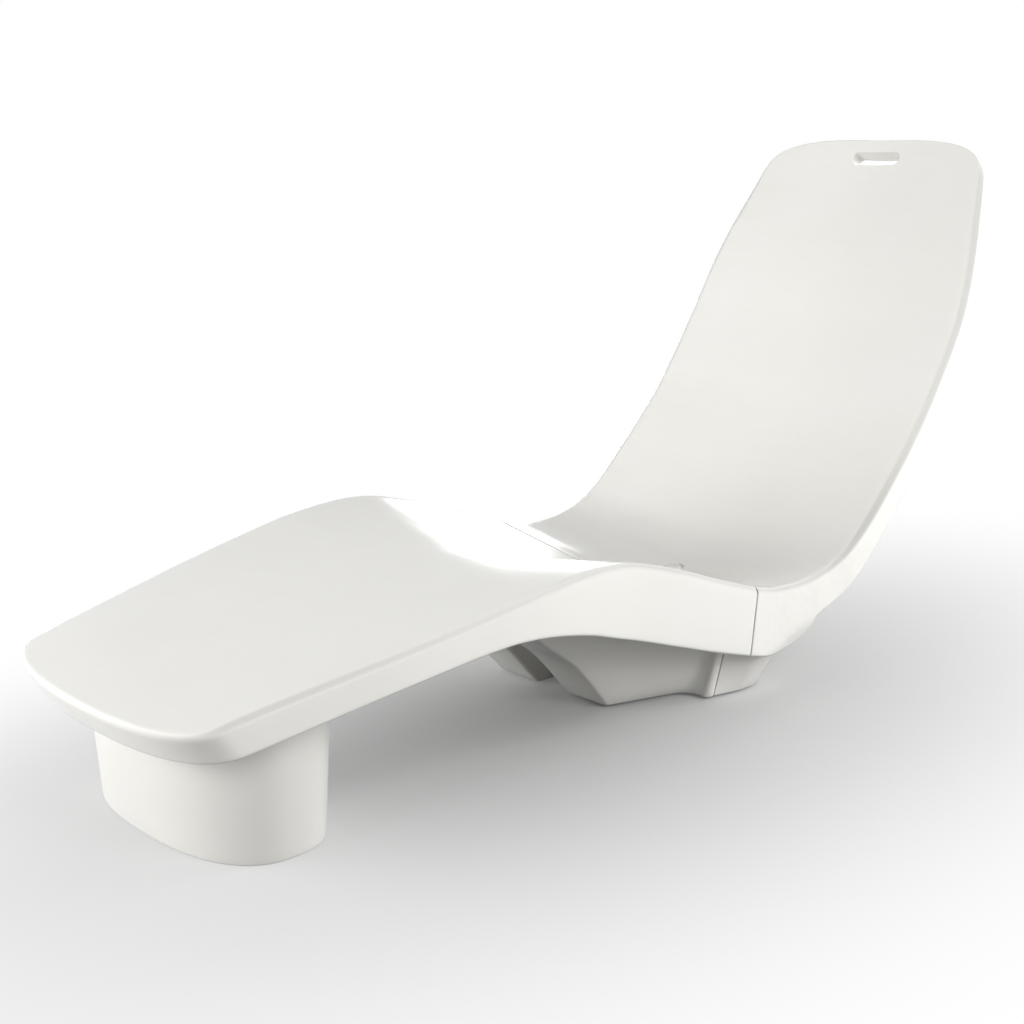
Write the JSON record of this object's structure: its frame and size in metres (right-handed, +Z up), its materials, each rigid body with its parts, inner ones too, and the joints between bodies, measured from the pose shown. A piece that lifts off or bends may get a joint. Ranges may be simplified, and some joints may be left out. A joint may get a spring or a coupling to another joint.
{
  "type": "spa relaxation lounger",
  "caption": "Shaped spa lounger of two hollow plastic mouldings joined across the seat, on a low base and a rounded pedestal, with a hand slot in the head end.",
  "frame": {"origin": "on the floor under the middle of the overall length and width", "axes": "+X to one long side, +Y from the foot end to the head end, +Z up"},
  "size_m": [0.6904, 2.0076, 1.0087],
  "materials": {
    "moulding": "satin, finely grained warm white",
    "fitting": "smooth satin",
    "rubber": "matte",
    "seal_rubber": "matte",
    "steel": "brushed stainless",
    "brass": "turned"
  },
  "bodies": {
    "lounger": {"leg_section": "moulding", "back_section": "moulding", "pedestal": "moulding", "pedestal_ring": "rubber", "lobe_pads": "rubber", "rear_pads": "rubber", "seam_gasket": "seal_rubber", "seam_bolts": "steel", "seam_washers": "steel", "seam_inserts": "brass", "seam_dowels": "fitting", "pedestal_bolts": "steel", "pedestal_washers": "steel", "pedestal_inserts": "brass", "drain_ring": "fitting", "drain_gasket": "seal_rubber", "vent_plugs": "fitting", "vent_seals": "seal_rubber"},
    "plug_lift": {"drain_plug_seal": "seal_rubber"},
    "plug_screw": {"drain_plug": "fitting"}
  },
  "joints": [
    {"name": "drain_plug_lift", "type": "slide", "parent": "lounger", "child": "plug_lift", "axis": [0, 0, 1], "range_m": [0, 0.018]},
    {"name": "drain_plug_turn", "type": "hinge", "parent": "plug_lift", "child": "plug_screw", "pos_m": [0, 0.30201, 0.17281], "axis": [0, 0, 1], "range_deg": [0, 1080]}
  ],
  "couplings": [
    {"joint": "drain_plug_lift", "follows": "drain_plug_turn", "m_per_rad": 0.000954}
  ]
}
